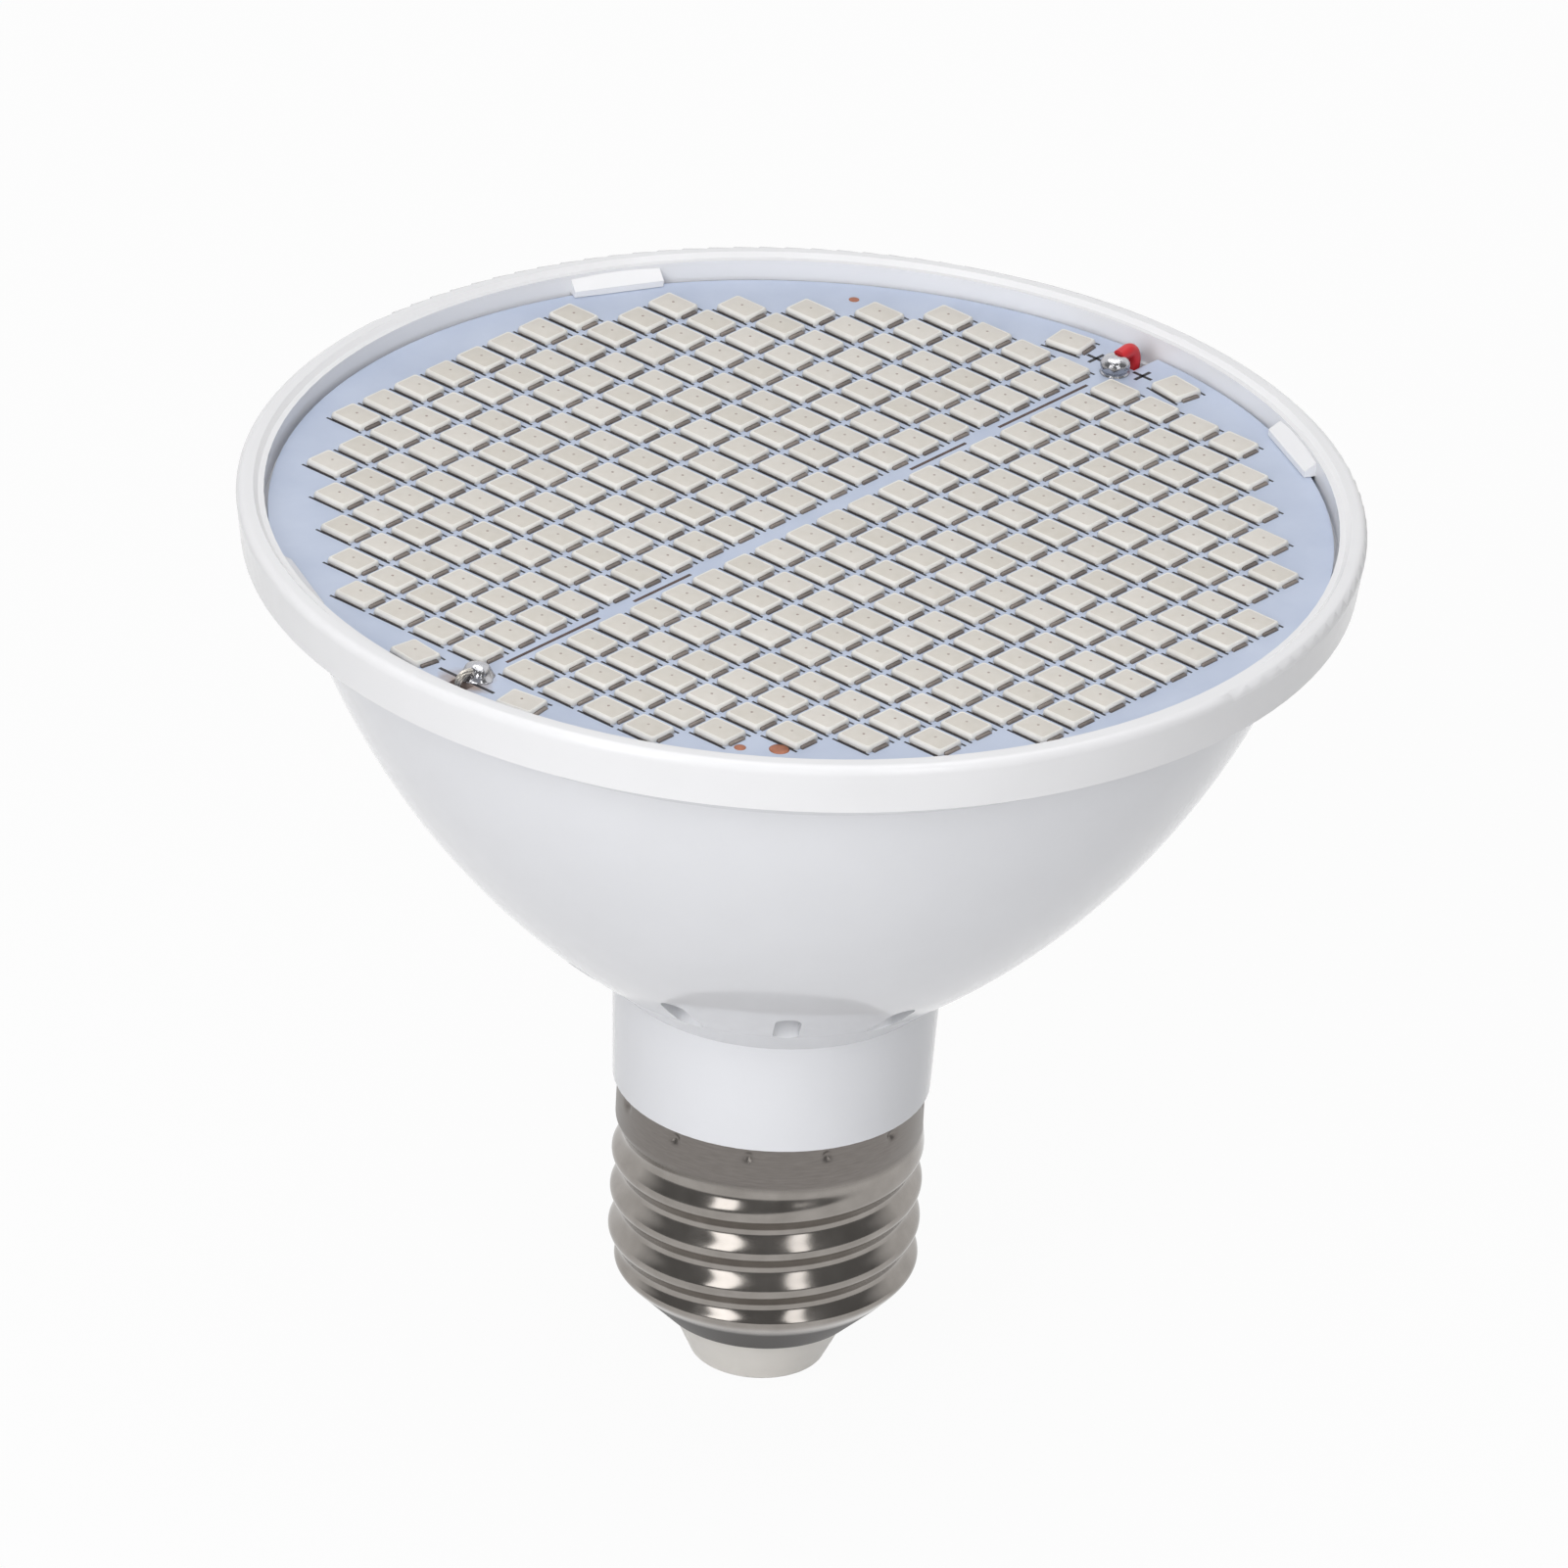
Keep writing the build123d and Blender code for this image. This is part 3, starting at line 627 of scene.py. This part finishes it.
def thread_radius(turn, z):
    """The knuckle thread's radius, whose groove fades out along its last turn."""
    place = (z - GROOVE_START) / THREAD_PITCH - turn / (2 * math.pi)
    nearest = math.floor(place + 0.5)
    groove_level = GROOVE_START + THREAD_PITCH * (nearest + turn / (2 * math.pi))
    depth = THREAD_DEPTH * (1 - ease(groove_level, FADE_START, FADE_END))
    crest = THREAD_CREST - (THREAD_CREST - BAND_RADIUS) * ease(z, FADE_START, FADE_END)
    return crest - depth * (0.5 + 0.5 * math.cos(2 * math.pi * (place - nearest)))


def shell_radius(turn, z):
    """The shell's outer radius at an angle and height, in millimetres."""
    slope = (THREAD_CREST - THREAD_DEPTH - MOUTH_RADIUS) / (THREAD_FOOT - z_mouth)
    cone = MOUTH_RADIUS + (z - z_mouth) * slope
    radius = soft_min(thread_radius(turn, z), cone, CONE_BLEND)
    for crimp in range(CRIMP_COUNT):
        middle = math.radians(CRIMP_FIRST_ANGLE + crimp * 360 / CRIMP_COUNT)
        swing = math.remainder(turn - middle, 2 * math.pi) * BAND_RADIUS
        drop = z - (z_shell_top - CRIMP_DROP)
        radius -= CRIMP_DEPTH * math.exp(-(swing**2 + drop**2) / CRIMP_SPREAD**2)
    return radius


def levels(low, high, count):
    """Heights from low up to, but not including, high."""
    return [low + (high - low) * step / count for step in range(count)]


def shell_piece():
    """The whole sheet-metal shell with its outer skin, rolled edges and bore."""
    turns = [2 * math.pi * step / SHELL_TURNS for step in range(SHELL_TURNS)]
    z_edge = z_shell_top - EDGE_DROP
    outer = levels(z_mouth, THREAD_FOOT, CONE_LEVELS) + levels(THREAD_FOOT, BAND_FOOT, THREAD_LEVELS)
    outer += levels(BAND_FOOT, z_edge, BAND_LEVELS) + [z_edge]
    root_bore = THREAD_CREST - THREAD_DEPTH - SHELL_SHEET
    band_bore = BAND_RADIUS - SHELL_SHEET
    bore = (
        (BAND_RADIUS - EDGE_INSET, z_shell_top),
        (band_bore, z_shell_top),
        (band_bore, BAND_FOOT),
        (root_bore, BAND_FOOT - BORE_STEP),
        (root_bore, THREAD_FOOT - BORE_FOOT),
        (MOUTH_RADIUS - CONE_SHEET, z_mouth),
    )
    rings = []
    for z in outer:
        radii = [shell_radius(turn, z) for turn in turns]
        rings.append([(r * math.cos(t), r * math.sin(t), z) for r, t in zip(radii, turns)])
    for radius, z in bore:
        rings.append([(radius * math.cos(turn), radius * math.sin(turn), z) for turn in turns])
    rings.append(rings[0])
    batch = Batch()
    batch.add(*loft(rings, closed_top=False))
    return batch.piece("shell_skin", nickel_sheet, "nickel_sheet", ("screw_shell",))


shell_piece()


# Solder joints and the bare strands


LUMPS_AROUND = 1.3
LUMPS_UP = 1.2
DROP_SIDES = 64


def blob(name, x, profile, wobble, seed, node):
    """A turned drop of solder with an uneven skin."""
    rings = []
    for radius, z in profile:
        ring = []
        for step in range(DROP_SIDES):
            turn = 2 * math.pi * step / DROP_SIDES
            spot = Vector((math.cos(turn) * LUMPS_AROUND, math.sin(turn) * LUMPS_AROUND, z * LUMPS_UP + seed))
            size = radius * (1 + wobble * noise.noise(spot))
            ring.append((x + size * math.cos(turn), size * math.sin(turn), z_board + z))
        rings.append(ring)
    batch = Batch()
    batch.add(*loft(rings, closed_foot=True))
    return batch.piece(name, solder_metal, "solder", (node,))


PLUS_PROFILE = (
    (1.3, 0.0),
    (1.12, 0.05),
    (1.08, 0.16),
    (1.18, 0.36),
    (1.27, 0.6),
    (1.29, 0.82),
    (1.24, 1.04),
    (1.12, 1.24),
    (0.92, 1.41),
    (0.66, 1.52),
    (0.36, 1.58),
    (0.1, 1.6),
)
MINUS_PROFILE = (
    (1.5, 0.0),
    (1.42, 0.06),
    (1.3, 0.18),
    (1.2, 0.4),
    (1.12, 0.62),
    (1.0, 0.84),
    (0.82, 1.02),
    (0.6, 1.16),
    (0.36, 1.24),
    (0.12, 1.28),
)
plus_x = (plus_low[0] + plus_high[0]) / 2 / MM
minus_joint_x = (minus_low[0] + minus_high[0]) / 2 / MM
blob("plus_solder_drop", plus_x, PLUS_PROFILE, wobble=0.03, seed=2.0, node="positive_solder")
blob("minus_solder_drop", minus_joint_x, MINUS_PROFILE, wobble=0.28, seed=7.0, node="negative_solder")


def tube(batch, points, radius, count=10):
    """A round strand through points, with closed ends."""
    rings = []
    for place, point in enumerate(points):
        before = points[max(0, place - 1)]
        after = points[min(len(points) - 1, place + 1)]
        along = (after - before).normalized()
        across = along.cross(Vector((0, 1, 0))).normalized()
        other = along.cross(across)
        ring = []
        for step in range(count):
            turn = 2 * math.pi * step / count
            ring.append(tuple(point + (across * math.cos(turn) + other * math.sin(turn)) * radius))
        rings.append(ring)
    batch.add(*loft(rings, closed_foot=True))


STRAND_BENDS = ((4.1, -3.4), (3.1, -2.4), (2.0, 0.0), (2.5, 0.9), (4.0, 0.7))  # from the board's edge and top
STRAND_COUNT = 6
STRAND_RADIUS = 0.13
STRAND_LAY = 0.2
STRAND_TWIST = 0.6
STRAND_STEPS = 6
STRAND_ROUNDS = 6


def strands_piece():
    """Bare tinned strands that come up through the notch and fan into the joint."""
    route = [Vector((inset - board_radius, 0.0, z_board + rise)) for inset, rise in STRAND_BENDS]
    line = []
    for place in range(len(route) - 1):
        for step in range(STRAND_STEPS):
            line.append(route[place].lerp(route[place + 1], step / STRAND_STEPS))
    line.append(route[-1])
    for _ in range(STRAND_ROUNDS):
        middle = [(a + 2 * b + c) / 4 for a, b, c in zip(line, line[1:], line[2:])]
        line = [line[0]] + middle + [line[-1]]
    batch = Batch()
    for strand in range(STRAND_COUNT):
        points = []
        for place, spot in enumerate(line):
            along = (line[min(place + 1, len(line) - 1)] - line[max(place - 1, 0)]).normalized()
            across = Vector((0, 1, 0))
            other = along.cross(across)
            turn = 2 * math.pi * (strand / STRAND_COUNT + STRAND_TWIST * place / len(line))
            points.append(spot + (across * math.cos(turn) + other * math.sin(turn)) * STRAND_LAY)
        tube(batch, points, STRAND_RADIUS)
    return batch.piece("minus_strands", tinned_wire, "tinned_wire", ("negative_strands",))


strands_piece()


# Floor, world and lights


def ray_shares(tree):
    """Shares that are 1 for what the camera sees straight on, and in a mirror or through glass."""
    path = tree.nodes.new("ShaderNodeLightPath")
    mirrored = math_node(tree, "MAXIMUM", path.outputs["Is Glossy Ray"], path.outputs["Is Transmission Ray"])
    return path.outputs["Is Camera Ray"], mirrored


FLOOR_SIZE = 6000.0
FLOOR_DROP = 0.02
FLOOR_GLOW = 0.95
FLOOR_TONE = 0.7


def make_floor():
    """A wide pale floor that looks white and keeps a faint shadow."""
    half = FLOOR_SIZE / 2
    corners = ((half, -half), (half, half), (-half, half), (-half, -half))
    ring = [(x, y, -FLOOR_DROP) for x, y in corners]
    mesh = bpy.data.meshes.new("floor")
    mesh.from_pydata([Vector(point) * MM for point in ring], [], [(0, 1, 2, 3)])
    floor = bpy.data.objects.new("floor", mesh)
    bpy.context.collection.objects.link(floor)
    material = bpy.data.materials.new("floor")
    material.use_nodes = True
    tree = material.node_tree
    tree.nodes.clear()
    output = tree.nodes.new("ShaderNodeOutputMaterial")
    paper = tree.nodes.new("ShaderNodeBsdfDiffuse")
    paper.inputs["Color"].default_value = (FLOOR_TONE, FLOOR_TONE, FLOOR_TONE, 1.0)
    glow = tree.nodes.new("ShaderNodeEmission")
    glow.inputs["Strength"].default_value = 1.0
    seen = tree.nodes.new("ShaderNodeMixShader")
    shown = math_node(tree, "MAXIMUM", *ray_shares(tree))
    tree.links.new(math_node(tree, "MULTIPLY", shown, FLOOR_GLOW), seen.inputs["Fac"])
    tree.links.new(paper.outputs["BSDF"], seen.inputs[1])
    tree.links.new(glow.outputs["Emission"], seen.inputs[2])
    tree.links.new(seen.outputs["Shader"], output.inputs["Surface"])
    mesh.materials.append(material)


# The photo's directions in the lamp's frame
view_turn = math.radians(CAMERA_AZIMUTH)
view_right = Vector((math.cos(view_turn), -math.sin(view_turn), 0.0))
view_away = Vector((math.sin(view_turn), math.cos(view_turn), 0.0))
upright = Vector((0.0, 0.0, 1.0))

LIGHT_AIM = 50.0
WORLD_LIGHT = 0.22
BACKDROP_START = -0.1
BACKDROP_FULL = 0.3


def make_world():
    """White to the camera. As light it is a softer grey, and mirrors see white behind the lamp only."""
    world = bpy.data.worlds.new("studio")
    world.use_nodes = True
    tree = world.node_tree
    background = tree.nodes["Background"]
    background.inputs["Color"].default_value = (1.0, 1.0, 1.0, 1.0)
    coordinates = tree.nodes.new("ShaderNodeTexCoord")
    depth = tree.nodes.new("ShaderNodeVectorMath")
    depth.operation = "DOT_PRODUCT"
    depth.inputs[1].default_value = view_away
    tree.links.new(coordinates.outputs["Generated"], depth.inputs[0])
    behind = tree.nodes.new("ShaderNodeMapRange")
    behind.inputs["From Min"].default_value = BACKDROP_START
    behind.inputs["From Max"].default_value = BACKDROP_FULL
    tree.links.new(depth.outputs["Value"], behind.inputs["Value"])
    direct, mirrored = ray_shares(tree)
    backdrop = math_node(tree, "MULTIPLY", mirrored, behind.outputs["Result"])
    shown = math_node(tree, "MAXIMUM", direct, backdrop)
    strength = tree.nodes.new("ShaderNodeMapRange")
    strength.inputs["To Min"].default_value = WORLD_LIGHT
    strength.inputs["To Max"].default_value = 1.0
    tree.links.new(shown, strength.inputs["Value"])
    tree.links.new(strength.outputs["Result"], background.inputs["Strength"])
    bpy.context.scene.world = world


def soft_box(name, right, nearer, height, width, tall, power, mirrored=True):
    """An area light placed by the photo's right, towards its camera and up, in millimetres."""
    light = bpy.data.lights.new(name, "AREA")
    light.shape = "RECTANGLE"
    light.size = width * MM
    light.size_y = tall * MM
    light.energy = power
    lamp = bpy.data.objects.new(name, light)
    spot = view_right * right - view_away * nearer + upright * height
    aim = upright * LIGHT_AIM - spot
    lamp.matrix_world = Matrix.Translation(spot * MM) @ aim.to_track_quat("-Z", "Y").to_matrix().to_4x4()
    lamp.visible_glossy = mirrored
    bpy.context.collection.objects.link(lamp)


def make_camera():
    """The photo's camera."""
    tilt = math.radians(CAMERA_ELEVATION)
    roll = math.radians(CAMERA_ROLL)
    back = upright * math.sin(tilt) - view_away * math.cos(tilt)
    over = back.cross(view_right)
    right = view_right * math.cos(roll) + over * math.sin(roll)
    up = over * math.cos(roll) - view_right * math.sin(roll)
    target = view_right * TARGET_RIGHT + upright * (z_rim - TARGET_BELOW_RIM)
    spot = (target + back * CAMERA_DISTANCE) * MM
    data = bpy.data.cameras.new("camera")
    data.sensor_width = SENSOR_WIDTH
    data.sensor_fit = "HORIZONTAL"
    data.lens = CAMERA_FOCAL_PIXELS / IMAGE_PIXELS * SENSOR_WIDTH
    data.clip_end = CAMERA_FAR * MM
    camera = bpy.data.objects.new("camera", data)
    axes = Matrix((right, up, back)).transposed().to_4x4()
    camera.matrix_world = Matrix.Translation(spot) @ axes
    bpy.context.collection.objects.link(camera)
    bpy.context.scene.camera = camera


make_floor()
make_world()
soft_box("key", right=-290.0, nearer=470.0, height=330.0, width=190.0, tall=420.0, power=0.8)
soft_box(
    "front", right=-190.0, nearer=600.0, height=380.0, width=700.0, tall=600.0, power=2.3, mirrored=False
)
soft_box("side", right=235.0, nearer=500.0, height=330.0, width=130.0, tall=420.0, power=0.45)
soft_box("top", right=0.0, nearer=-60.0, height=700.0, width=600.0, tall=600.0, power=1.9)
soft_box("rear", right=0.0, nearer=-640.0, height=170.0, width=700.0, tall=240.0, power=1.0, mirrored=False)
make_camera()
bpy.context.scene.view_settings.view_transform = "Standard"
